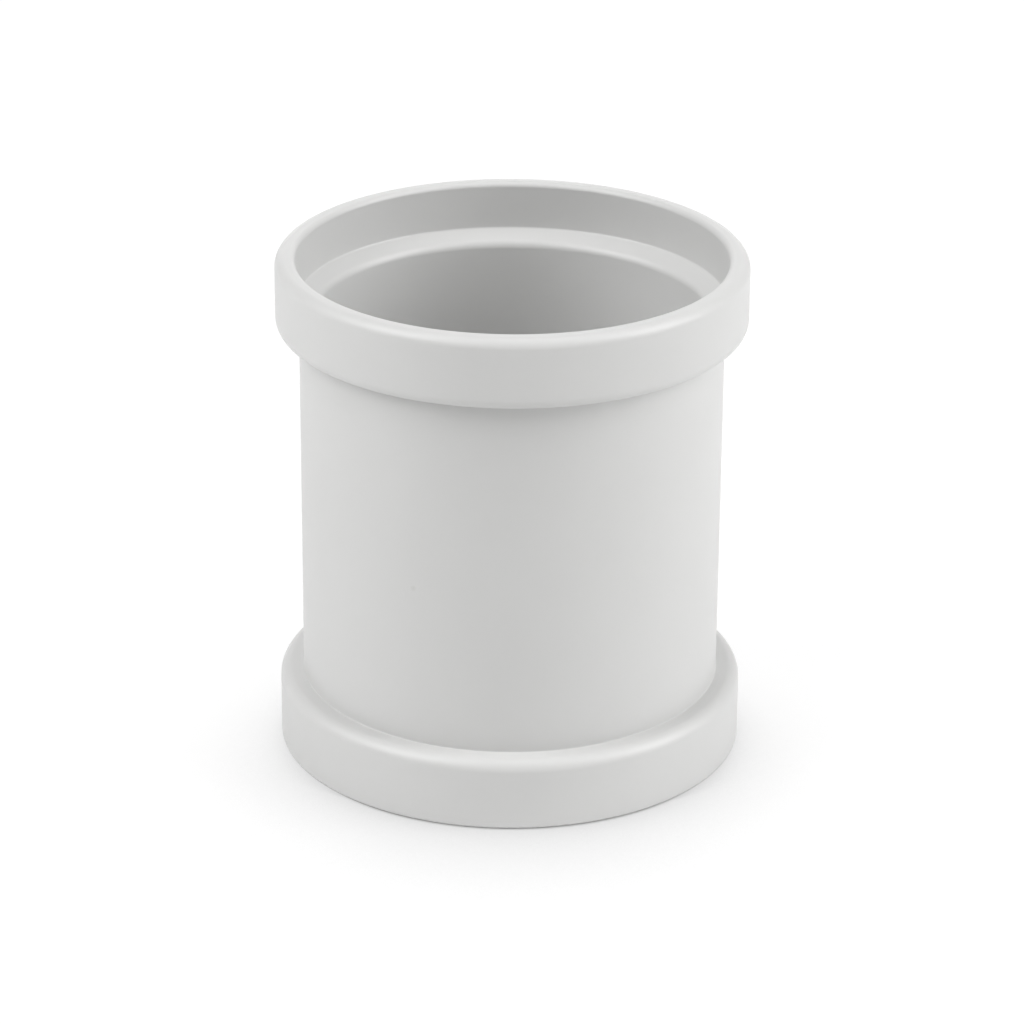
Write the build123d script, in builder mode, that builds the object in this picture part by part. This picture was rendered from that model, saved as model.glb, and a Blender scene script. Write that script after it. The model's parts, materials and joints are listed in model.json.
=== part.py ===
"""Straight coupler for 110 mm sewer pipe, moulded in one piece and standing on one end.

A plain round barrel carries a thicker collar at each end. Inside each collar a wide mouth
steps down, over a sloping ledge, to the socket that takes the pipe. A low ring at mid-length
stops the two pipes from sliding past each other's ends. The two halves differ only in the
outer edge of their ends: soft above, crisp at the foot.
"""

import os
from math import radians, tan

from build123d import *

# Driving dimensions, in millimetres and degrees
length = 144.8            # end to end
pipe_diameter = 110.0     # outside diameter of the pipe that each socket takes
socket_clearance = 0.2    # gap between pipe and socket, on the radius
barrel_wall = 4.2         # wall between the collars
collar_height = 20.4      # one collar, along the axis
collar_wall = 5.8         # wall of the collar round its mouth
mouth_step = 5.0          # how far the mouth stands back from the socket, on the radius
ledge_angle = 33.0        # fall of the ledge from the mouth towards the socket
ledge_floor = 3.4         # collar left under the ledge, where it meets the socket
stop_height = 2.0         # how far the pipe stop stands into the bore
stop_width = 3.0          # flat crest of the pipe stop, along the axis
stop_flank_angle = 15.0   # lean of the stop's flanks from square

# Edge roundings
rim_outer_radius = 2.9    # outer edge of the upper end
foot_outer_radius = 0.7   # outer edge of the lower end
rim_inner_radius = 1.5    # inner edge of each end, where the pipe enters
ledge_root_radius = 0.8   # hollow between mouth wall and ledge
ledge_nose_radius = 2.8   # round between ledge and socket
shoulder_radius = 3.4     # outer edge of the collar's shoulder
junction_radius = 0.3     # hollow between barrel and shoulder

# Radii that follow from them
socket_radius = pipe_diameter / 2 + socket_clearance
barrel_radius = socket_radius + barrel_wall
mouth_radius = socket_radius + mouth_step
collar_radius = mouth_radius + collar_wall
stop_radius = socket_radius - stop_height

# Distances from the plane at mid-length
end_height = length / 2
shoulder_height = end_height - collar_height
ledge_foot = shoulder_height + ledge_floor
ledge_top = ledge_foot + mouth_step * tan(radians(ledge_angle))
crest_edge = stop_width / 2
flank_foot = crest_edge + stop_height * tan(radians(stop_flank_angle))


def half_section(side, end_outer_radius):
    """Draws one half of the section: side is 1 above mid-length and -1 below it."""
    rounded_corners = [
        (barrel_radius, shoulder_height, junction_radius),
        (collar_radius, shoulder_height, shoulder_radius),
        (collar_radius, end_height, end_outer_radius),
        (mouth_radius, end_height, rim_inner_radius),
        (mouth_radius, ledge_top, ledge_root_radius),
        (socket_radius, ledge_foot, ledge_nose_radius),
    ]
    stop_foot = (socket_radius, side * flank_foot)
    FilletPolyline(
        (barrel_radius, 0),
        *[(across, side * height) for across, height, radius in rounded_corners],
        stop_foot,
        radius=[radius for across, height, radius in rounded_corners],
    )
    Polyline(stop_foot, (stop_radius, side * crest_edge), (stop_radius, 0))


os.makedirs("parts", exist_ok=True)

# The section is drawn about mid-length, lifted so that the lower end stands at zero height
section_plane = Plane.XZ.shift_origin((0, 0, end_height))

with BuildPart() as coupler:
    with BuildSketch(section_plane) as section:
        with BuildLine() as outline:
            half_section(1, rim_outer_radius)
            half_section(-1, foot_outer_radius)
        make_face()
    revolve(axis=Axis.Z)

coupler.part.label = "coupler"
export_step(coupler.part, "parts/coupler.step")
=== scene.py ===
"""Sewer pipe coupler: one moulded piece of rigid PVC, standing on one end in a plain white studio.

Every size is in metres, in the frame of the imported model: +Z up along the bore, zero at the lower end.
"""

import json
from math import cos, radians, sin

import bpy
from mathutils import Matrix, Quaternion, Vector


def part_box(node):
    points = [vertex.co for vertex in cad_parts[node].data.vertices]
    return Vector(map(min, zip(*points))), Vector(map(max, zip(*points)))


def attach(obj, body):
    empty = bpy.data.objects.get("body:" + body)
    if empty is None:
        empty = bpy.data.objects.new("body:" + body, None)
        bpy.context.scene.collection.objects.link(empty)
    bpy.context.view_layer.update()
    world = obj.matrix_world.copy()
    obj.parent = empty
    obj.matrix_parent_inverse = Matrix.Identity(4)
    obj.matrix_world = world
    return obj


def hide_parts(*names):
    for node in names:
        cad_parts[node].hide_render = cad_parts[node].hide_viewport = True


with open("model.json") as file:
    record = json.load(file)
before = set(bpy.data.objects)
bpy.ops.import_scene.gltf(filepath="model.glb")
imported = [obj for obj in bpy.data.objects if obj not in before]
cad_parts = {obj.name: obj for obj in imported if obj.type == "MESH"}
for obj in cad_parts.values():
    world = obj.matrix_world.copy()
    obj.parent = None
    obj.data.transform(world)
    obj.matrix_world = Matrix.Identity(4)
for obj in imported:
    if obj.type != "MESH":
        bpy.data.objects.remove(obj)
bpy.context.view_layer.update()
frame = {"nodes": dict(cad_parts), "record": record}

bl_info = {
    "name": "Sewer Pipe Coupler",
    "version": (1, 0, 0),
    "blender": (4, 5, 0),
    "location": "3D View > Sidebar > Coupler",
    "description": "Builds a moulded sewer pipe coupler and the white studio it stands in",
    "category": "Object",
}

MM = 0.001
CAD_NODE = "coupler"

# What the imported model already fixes
mounts = {mount["name"]: mount for mount in frame["record"]["mounts"]}
cad_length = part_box(CAD_NODE)[1].z
cad_collar_radius = max(v.co.xy.length for v in frame["nodes"][CAD_NODE].data.vertices)
cad_socket_radius = mounts["top_socket"]["dims"]["r_mm"] * MM
cad_mouth_radius = mounts["top_mouth"]["dims"]["r_mm"] * MM


def linear(hex_colour):
    """Linear RGBA of an sRGB hex colour such as #E6E6E3."""
    channels = [int(hex_colour[i:i + 2], 16) / 255 for i in (1, 3, 5)]
    return [c / 12.92 if c <= 0.04045 else ((c + 0.055) / 1.055) ** 2.4 for c in channels] + [1.0]


def add_node(tree, kind, inputs=(), **settings):
    """Adds a node with its settings, and fills its inputs with values or with links from other sockets."""
    made = tree.nodes.new(kind)
    for name, value in settings.items():
        setattr(made, name, value)
    for key, value in dict(inputs).items():
        if isinstance(value, bpy.types.NodeSocket):
            tree.links.new(value, made.inputs[key])
        else:
            made.inputs[key].default_value = value
    return made


def worked_out(tree, operation, *terms, **settings):
    """Output of a math node on sockets or numbers."""
    return add_node(tree, "ShaderNodeMath", enumerate(terms), operation=operation, **settings).outputs[0]


def length_property(name, millimetres, description):
    """A length that a user can change, given in millimetres."""
    return bpy.props.FloatProperty(
        name=name, description=description, default=millimetres * MM, min=0, unit="LENGTH", precision=4
    )


def angle_property(name, degrees, description):
    """An angle that a user can change, given in degrees."""
    return bpy.props.FloatProperty(name=name, description=description, default=radians(degrees), subtype="ANGLE")


class CouplerSizes(bpy.types.PropertyGroup):
    """Sizes of the moulding; both ends are alike but for their outer edge."""

    length: length_property("Length", cad_length / MM, "End to end")
    collar_radius: length_property("Collar Radius", cad_collar_radius / MM, "Outside of each collar")
    mouth_radius: length_property("Mouth Radius", cad_mouth_radius / MM, "Wide recess inside each collar")
    socket_radius: length_property("Socket Radius", cad_socket_radius / MM, "Bore that takes the pipe")
    barrel_radius: length_property("Barrel Radius", 59.4, "Outside of the barrel between the collars")
    collar_height: length_property("Collar Height", 20.4, "Each collar, along the axis")
    ledge_floor: length_property("Ledge Floor", 3.4, "Collar left under the ledge, at the socket")
    ledge_angle: angle_property("Ledge Angle", 33, "Fall of the ledge from the mouth towards the socket")
    stop_height: length_property("Stop Height", 2.0, "How far the pipe stop stands into the bore")
    stop_width: length_property("Stop Width", 3.0, "Crest of the pipe stop, along the axis")
    stop_flank_angle: angle_property("Stop Flank Angle", 15, "Lean of the stop's flanks from square")
    rim_outer_radius: length_property("Rim Outer Rounding", 2.9, "Outer edge of the upper end")
    foot_outer_radius: length_property("Foot Outer Rounding", 0.7, "Outer edge of the lower end")
    rim_inner_radius: length_property("Rim Inner Rounding", 1.5, "Inner edge of each end")
    ledge_root_radius: length_property("Ledge Root Rounding", 0.8, "Hollow between mouth wall and ledge")
    ledge_nose_radius: length_property("Ledge Nose Rounding", 2.8, "Round between ledge and socket")
    shoulder_radius: length_property("Shoulder Rounding", 3.4, "Outer edge of the collar's shoulder")
    junction_radius: length_property("Junction Rounding", 0.3, "Hollow between barrel and shoulder")
    stop_edge_radius: length_property("Stop Edge Rounding", 0.3, "Moulded edges of the pipe stop")
    segments: bpy.props.IntProperty(
        name="Segments", description="Faces round the axis", default=240, min=24
    )
    rounding_steps: bpy.props.IntProperty(
        name="Rounding Steps", description="Faces across each rounded edge", default=10, min=1
    )


class CouplerFinish(bpy.types.PropertyGroup):
    """Colour and roughness of the plastic, and colour of the studio floor."""

    plastic: bpy.props.StringProperty(
        name="Plastic", description="Colour of the moulding, sRGB hex", default="#CFCFCE"
    )
    roughness: bpy.props.FloatProperty(
        name="Roughness", description="Roughness of the moulded skin", default=0.42, min=0, max=1, subtype="FACTOR"
    )
    floor: bpy.props.StringProperty(
        name="Floor", description="Colour of the studio floor, sRGB hex", default="#FFFFFF"
    )


def moulded_pvc(finish):
    """Rigid PVC, injection moulded: an even, opaque skin in pale grey-white with a soft satin sheen.

    The mould's fine texture breaks up reflections, and the gloss drifts a little with the clouds of pigment.
    """
    material = bpy.data.materials.new("rigid_pvc_moulded_satin")
    material.use_nodes = True
    tree = material.node_tree
    tree.nodes.clear()
    place = add_node(tree, "ShaderNodeTexCoord").outputs["Object"]

    # Pigment settles a little unevenly in the melt, in slow clouds, and the gloss follows it
    cloud_size = 30 * MM
    cloud_tint = "#CCCCCB"
    gloss_drift = 0.03
    cloud = add_node(tree, "ShaderNodeTexNoise", {"Vector": place, "Scale": 1 / cloud_size, "Detail": 3.0})
    tint = add_node(
        tree, "ShaderNodeMix",
        {"Factor": cloud.outputs["Fac"], "A": linear(finish.plastic), "B": linear(cloud_tint)},
        data_type="RGBA",
    )
    gloss = add_node(
        tree, "ShaderNodeMapRange",
        {
            "Value": cloud.outputs["Fac"],
            "To Min": finish.roughness - gloss_drift, "To Max": finish.roughness + gloss_drift,
        },
    )

    # One small darker speck in the skin, on the barrel's front left of the middle
    speck_place = (-26.5 * MM, -53.2 * MM, 67.1 * MM)
    speck_core = 0.4 * MM
    speck_edge = 1.0 * MM
    speck_tint = "#C8C8C6"
    from_speck = add_node(tree, "ShaderNodeVectorMath", {0: place, 1: speck_place}, operation="DISTANCE")
    speck = add_node(
        tree, "ShaderNodeMapRange",
        {
            "Value": from_speck.outputs["Value"],
            "From Min": speck_core, "From Max": speck_edge, "To Min": 1.0, "To Max": 0.0,
        },
        interpolation_type="SMOOTHSTEP",
    )
    skin = add_node(
        tree, "ShaderNodeMix",
        {"Factor": speck.outputs["Result"], "A": tint.outputs["Result"], "B": linear(speck_tint)},
        data_type="RGBA",
    )

    # The mould's spark texture, drawn coarse enough to show
    grain_size = 0.5 * MM
    grain_depth = 0.05 * MM
    grain = add_node(tree, "ShaderNodeTexNoise", {"Vector": place, "Scale": 1 / grain_size, "Detail": 2.0})
    fine = add_node(
        tree, "ShaderNodeBump",
        {"Height": grain.outputs["Fac"], "Strength": 0.05, "Distance": grain_depth},
    )
    shader = add_node(
        tree, "ShaderNodeBsdfPrincipled",
        {
            "Base Color": skin.outputs["Result"],
            "Roughness": gloss.outputs["Result"],
            "Normal": fine.outputs["Normal"],
            "IOR": 1.53,
        },
    )
    add_node(tree, "ShaderNodeOutputMaterial", {"Surface": shader.outputs["BSDF"]})
    return material


def lathe_tree():
    """Node tree that rounds the half-section's corners, mirrors them and turns them round the axis."""
    tree = bpy.data.node_groups.new("coupler_lathe", "GeometryNodeTree")
    tree.interface.new_socket("Geometry", in_out="OUTPUT", socket_type="NodeSocketGeometry")
    for name, entry in CouplerSizes.__annotations__.items():
        kind = "NodeSocketInt" if entry.function is bpy.props.IntProperty else "NodeSocketFloat"
        tree.interface.new_socket(name, in_out="INPUT", socket_type=kind)
    tree.interface.new_socket("material", in_out="INPUT", socket_type="NodeSocketMaterial")
    given = add_node(tree, "NodeGroupInput").outputs

    end = worked_out(tree, "DIVIDE", given["length"], 2.0)
    shoulder = worked_out(tree, "SUBTRACT", end, given["collar_height"])
    ledge_foot = worked_out(tree, "ADD", shoulder, given["ledge_floor"])
    mouth_step = worked_out(tree, "SUBTRACT", given["mouth_radius"], given["socket_radius"])
    ledge_slope = worked_out(tree, "TANGENT", given["ledge_angle"])
    ledge_top = worked_out(tree, "MULTIPLY_ADD", mouth_step, ledge_slope, ledge_foot)
    crest = worked_out(tree, "DIVIDE", given["stop_width"], 2.0)
    flank_slope = worked_out(tree, "TANGENT", given["stop_flank_angle"])
    flank_foot = worked_out(tree, "MULTIPLY_ADD", given["stop_height"], flank_slope, crest)
    stop = worked_out(tree, "SUBTRACT", given["socket_radius"], given["stop_height"])

    # Radius, distance from mid-length and rounding of each corner, from the barrel over the collar to the stop
    corners = [
        (given["barrel_radius"], shoulder, given["junction_radius"]),
        (given["collar_radius"], shoulder, given["shoulder_radius"]),
        (given["collar_radius"], end, given["rim_outer_radius"]),
        (given["mouth_radius"], end, given["rim_inner_radius"]),
        (given["mouth_radius"], ledge_top, given["ledge_root_radius"]),
        (given["socket_radius"], ledge_foot, given["ledge_nose_radius"]),
        (given["socket_radius"], flank_foot, given["stop_edge_radius"]),
        (stop, crest, given["stop_edge_radius"]),
    ]
    last = 2 * len(corners) - 1
    edges = [edge for radius, height, edge in corners]
    foot_edges = [given["foot_outer_radius"] if edge == given["rim_outer_radius"] else edge for edge in edges]

    # The section's Y axis points down once it is swept, so the first half of the points is the lower half,
    # and the second half repeats it backwards above mid-length
    index = add_node(tree, "GeometryNodeInputIndex").outputs[0]
    half_index = worked_out(tree, "MINIMUM", index, worked_out(tree, "SUBTRACT", last, index))
    side = worked_out(tree, "SIGN", worked_out(tree, "SUBTRACT", last / 2, index))

    def chosen(number, data_type, choices):
        """Output of a switch that picks one of the sockets by its number."""
        switch = add_node(tree, "GeometryNodeIndexSwitch", {"Index": number}, data_type=data_type)
        while len(switch.index_switch_items) < len(choices):
            switch.index_switch_items.new()
        for position, choice in enumerate(choices):
            tree.links.new(choice, switch.inputs[str(position)])
        return switch.outputs[0]

    places = []
    for radius, height, edge in corners:
        from_ring = worked_out(tree, "SUBTRACT", radius, given["socket_radius"])
        places.append(add_node(tree, "ShaderNodeCombineXYZ", {"X": from_ring, "Y": height}).outputs[0])
    place = chosen(half_index, "VECTOR", places)
    rounding = chosen(index, "FLOAT", foot_edges + edges[::-1])
    mirrored = add_node(
        tree, "ShaderNodeVectorMath",
        {0: place, 1: add_node(tree, "ShaderNodeCombineXYZ", {"X": 1.0, "Y": side}).outputs[0]},
        operation="MULTIPLY",
    )

    line = add_node(tree, "GeometryNodeCurvePrimitiveLine")
    points = add_node(tree, "GeometryNodeResampleCurve", {"Curve": line.outputs[0], "Count": last + 1})
    drawn = add_node(
        tree, "GeometryNodeSetPosition", {"Geometry": points.outputs[0], "Position": mirrored.outputs[0]}
    )
    closed = add_node(tree, "GeometryNodeSetSplineCyclic", {"Geometry": drawn.outputs[0], "Cyclic": True})
    section = add_node(
        tree, "GeometryNodeFilletCurve",
        {"Curve": closed.outputs[0], "Count": given["rounding_steps"], "Radius": rounding},
        mode="POLY",
    )
    ring = add_node(
        tree, "GeometryNodeCurvePrimitiveCircle",
        {"Resolution": given["segments"], "Radius": given["socket_radius"]},
    )
    turned = add_node(
        tree, "GeometryNodeCurveToMesh", {"Curve": ring.outputs[0], "Profile Curve": section.outputs[0]}
    )
    lift = add_node(tree, "ShaderNodeCombineXYZ", {"Z": end})
    raised = add_node(
        tree, "GeometryNodeTransform", {"Geometry": turned.outputs[0], "Translation": lift.outputs[0]}
    )
    smooth = add_node(tree, "GeometryNodeSetShadeSmooth", {"Geometry": raised.outputs[0]})
    real = add_node(tree, "GeometryNodeRealizeInstances", {"Geometry": smooth.outputs[0]})
    dressed = add_node(
        tree, "GeometryNodeSetMaterial", {"Geometry": real.outputs[0], "Material": given["material"]}
    )
    add_node(tree, "NodeGroupOutput", {"Geometry": dressed.outputs[0]})
    return tree


class COUPLER_OT_mould_body(bpy.types.Operator):
    """Turn the coupler's section round its axis and give it the moulded finish"""

    bl_idname = "coupler.mould_body"
    bl_label = "Mould Body"

    def execute(self, context):
        sizes = context.scene.coupler_sizes
        body = bpy.data.objects.new("coupler_body", bpy.data.meshes.new("coupler_body"))
        context.scene.collection.objects.link(body)
        lathe = body.modifiers.new("Lathe", "NODES")
        tree = lathe_tree()
        lathe.node_group = tree
        identifiers = {item.name: item.identifier for item in tree.interface.items_tree if item.in_out == "INPUT"}
        for name in CouplerSizes.__annotations__:
            lathe[identifiers[name]] = getattr(sizes, name)
        lathe[identifiers["material"]] = moulded_pvc(context.scene.coupler_finish)

        # Normals follow the large faces, so that the flats stay flat up to their rounded edges
        weighting = body.modifiers.new("Flat Faces", "WEIGHTED_NORMAL")
        weighting.mode = "FACE_AREA"
        weighting.weight = 100
        evaluated = body.evaluated_get(context.evaluated_depsgraph_get())
        mesh = bpy.data.meshes.new_from_object(evaluated)
        body.modifiers.clear()
        body.data = mesh
        if not mesh.polygons:
            raise RuntimeError("the lathe made no faces")
        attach(body, "root")
        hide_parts(CAD_NODE)
        return {"FINISHED"}


def seen_rays(tree):
    """One for rays that show the surroundings to the eye: straight, in a reflection or through glass."""
    ray = add_node(tree, "ShaderNodeLightPath").outputs
    seen = ray["Is Camera Ray"]
    for kind in ("Is Glossy Ray", "Is Transmission Ray"):
        seen = worked_out(tree, "MAXIMUM", seen, ray[kind])
    return seen


def studio_floor(finish):
    """Seamless white paper: white to the eye, with a painted soft shadow round the object's foot, plain bounce on
    the object.
    """
    material = bpy.data.materials.new("white_paper_with_painted_shadow")
    material.use_nodes = True
    tree = material.node_tree
    tree.nodes.clear()
    white = linear(finish.floor)

    def light_past_object(lean, reach):
        """Ambient occlusion: share of rays from above, leaning to the back, that pass the object within the reach.
        """
        behind = add_node(tree, "ShaderNodeCombineXYZ", {"Y": sin(lean), "Z": cos(lean)})
        return add_node(
            tree, "ShaderNodeAmbientOcclusion", {"Distance": reach, "Normal": behind.outputs[0]}, samples=10
        ).outputs["AO"]

    # Painted soft shadow from ambient occlusion, longest in front, up to the level of the open paper
    painted_shadow_level = 0.30
    painted_shadow_gain = 0.74
    paper_level = 0.89
    wide = light_past_object(radians(30), 200 * MM)
    shadow = worked_out(tree, "MULTIPLY_ADD", wide, painted_shadow_gain, painted_shadow_level)
    soft = worked_out(tree, "MINIMUM", shadow, paper_level)

    # Painted shade right at the foot from a short occlusion: a thin dark line in front, wider and paler towards
    # the sides along Y
    place = add_node(tree, "ShaderNodeTexCoord").outputs["Object"]
    along_y = add_node(tree, "ShaderNodeSeparateXYZ", {0: place}).outputs["Y"]

    def towards_sides(span, front_value, side_value):
        """A value that runs from the front one to the side one over a span along Y."""
        return add_node(
            tree, "ShaderNodeMapRange",
            {
                "Value": along_y,
                "From Min": span[0], "From Max": span[1], "To Min": front_value, "To Max": side_value,
            },
        ).outputs[0]

    reach = towards_sides((-48 * MM, -36 * MM), 1.5 * MM, 15 * MM)
    depth = towards_sides((-54 * MM, -42 * MM), 1.0, 0.4)
    darkest = 0.95
    fade = 1.5
    near = light_past_object(radians(60), reach)
    painted_foot_shade = worked_out(tree, "MULTIPLY_ADD", near, -fade, darkest, use_clamp=True)
    painted_foot_factor = worked_out(tree, "SUBTRACT", 1.0, worked_out(tree, "MULTIPLY", painted_foot_shade, depth))

    # The eye sees the paper's level with its painted shadow and a share of the lamps; the object gets plain bounce
    # from it
    lamp_share = 0.16
    bounce_share = 0.9
    painted_paper_level = worked_out(tree, "MULTIPLY", soft, painted_foot_factor)
    glow = add_node(tree, "ShaderNodeEmission", {"Color": white, "Strength": painted_paper_level})
    lit = add_node(tree, "ShaderNodeBsdfDiffuse", {"Color": [lamp_share * c for c in white[:3]] + [1.0]})
    paper = add_node(tree, "ShaderNodeAddShader", {0: glow.outputs[0], 1: lit.outputs[0]})
    bounce = add_node(tree, "ShaderNodeBsdfDiffuse", {"Color": [bounce_share * c for c in white[:3]] + [1.0]})
    mixed = add_node(
        tree, "ShaderNodeMixShader", {"Fac": seen_rays(tree), 1: bounce.outputs[0], 2: paper.outputs[0]}
    )
    add_node(tree, "ShaderNodeOutputMaterial", {"Surface": mixed.outputs[0]})
    return material


def studio_world():
    """White to the eye and in reflections; the softboxes alone light the object."""
    world = bpy.data.worlds.new("white_studio")
    world.use_nodes = True
    tree = world.node_tree
    tree.nodes.clear()
    backdrop = add_node(
        tree, "ShaderNodeBackground", {"Color": linear("#FFFFFF"), "Strength": seen_rays(tree)}
    )
    add_node(tree, "ShaderNodeOutputWorld", {"Surface": backdrop.outputs[0]})
    return world


# Azimuth round the object from the camera and rise in degrees, width and height in metres, power in watts
SOFTBOX_DISTANCE = 2.5
SOFTBOXES = {
    "softbox_left": (-75, 42, 1.4, 2.2, 41.5),
    "softbox_right": (79, 34, 1.4, 2.2, 37.0),
    "softbox_right_low": (79, 22, 1.4, 1.6, 15.5),
    "softbox_front_left": (-45, 40, 1.2, 1.2, 13.5),
    "softbox_front_right": (45, 40, 1.2, 1.2, 4.5),
    "softbox_top": (0, 89.9, 2.0, 2.0, 12.0),
    "softbox_back": (180, 10, 2.0, 1.2, 5.0),
}


def outward(azimuth, rise):
    """Unit vector from the object to a place round it, by angles in degrees; azimuth 0 is the camera's side."""
    turn = radians(azimuth)
    lift = radians(rise)
    return Vector((sin(turn) * cos(lift), -cos(turn) * cos(lift), sin(lift)))


class COUPLER_OT_set_stage(bpy.types.Operator):
    """Lay the white floor and set the softboxes and the camera"""

    bl_idname = "coupler.set_stage"
    bl_label = "Set Stage"

    def execute(self, context):
        scene = context.scene
        finish = scene.coupler_finish
        middle = Vector((0, 0, cad_length / 2))

        floor_half = 4.0
        corners = [(x * floor_half, y * floor_half, 0) for x, y in ((-1, -1), (1, -1), (1, 1), (-1, 1))]
        mesh = bpy.data.meshes.new("studio_floor")
        mesh.from_pydata(corners, [], [(0, 1, 2, 3)])
        mesh.materials.append(studio_floor(finish))
        floor = bpy.data.objects.new("studio_floor", mesh)
        scene.collection.objects.link(floor)

        scene.world = studio_world()
        for name, (azimuth, rise, width, height, power) in SOFTBOXES.items():
            lamp = bpy.data.lights.new(name, "AREA")
            lamp.shape = "RECTANGLE"
            lamp.size = width
            lamp.size_y = height
            lamp.energy = power
            softbox = bpy.data.objects.new(name, lamp)
            away = outward(azimuth, rise)
            softbox.location = middle + SOFTBOX_DISTANCE * away
            softbox.rotation_euler = away.to_track_quat("Z", "Y").to_euler()
            scene.collection.objects.link(softbox)

        # Long lens from a little above, as the object is seen on the page
        away = outward(0, 23.593)
        distance = 1.205
        roll = radians(0.380)
        aim = Vector((0.333 * MM, 0, 66.83 * MM))
        data = bpy.data.cameras.new("page_camera")
        data.sensor_width = 36
        data.lens = 148.9
        camera = bpy.data.objects.new("page_camera", data)
        camera.location = aim + distance * away
        camera.rotation_mode = "QUATERNION"
        camera.rotation_quaternion = away.to_track_quat("Z", "Y") @ Quaternion((0, 0, 1), roll)
        scene.collection.objects.link(camera)
        scene.camera = camera

        scene.view_settings.view_transform = "Standard"
        return {"FINISHED"}


class COUPLER_PT_panel(bpy.types.Panel):
    """Sidebar panel with the coupler's sizes, finish and build buttons"""

    bl_idname = "COUPLER_PT_panel"
    bl_label = "Sewer Pipe Coupler"
    bl_space_type = "VIEW_3D"
    bl_region_type = "UI"
    bl_category = "Coupler"

    def draw(self, context):
        layout = self.layout
        for group in (context.scene.coupler_sizes, context.scene.coupler_finish):
            column = layout.column(align=True)
            for name in type(group).__annotations__:
                column.prop(group, name)
        for step in OPERATORS:
            layout.operator(step.bl_idname)


OPERATORS = (COUPLER_OT_mould_body, COUPLER_OT_set_stage)
CLASSES = (CouplerSizes, CouplerFinish, *OPERATORS, COUPLER_PT_panel)


def register():
    for each in CLASSES:
        bpy.utils.register_class(each)
    bpy.types.Scene.coupler_sizes = bpy.props.PointerProperty(type=CouplerSizes)
    bpy.types.Scene.coupler_finish = bpy.props.PointerProperty(type=CouplerFinish)


def unregister():
    del bpy.types.Scene.coupler_finish
    del bpy.types.Scene.coupler_sizes
    for each in reversed(CLASSES):
        bpy.utils.unregister_class(each)


def main():
    register()
    bpy.ops.coupler.mould_body()
    bpy.ops.coupler.set_stage()


if __name__ == "__main__":
    main()
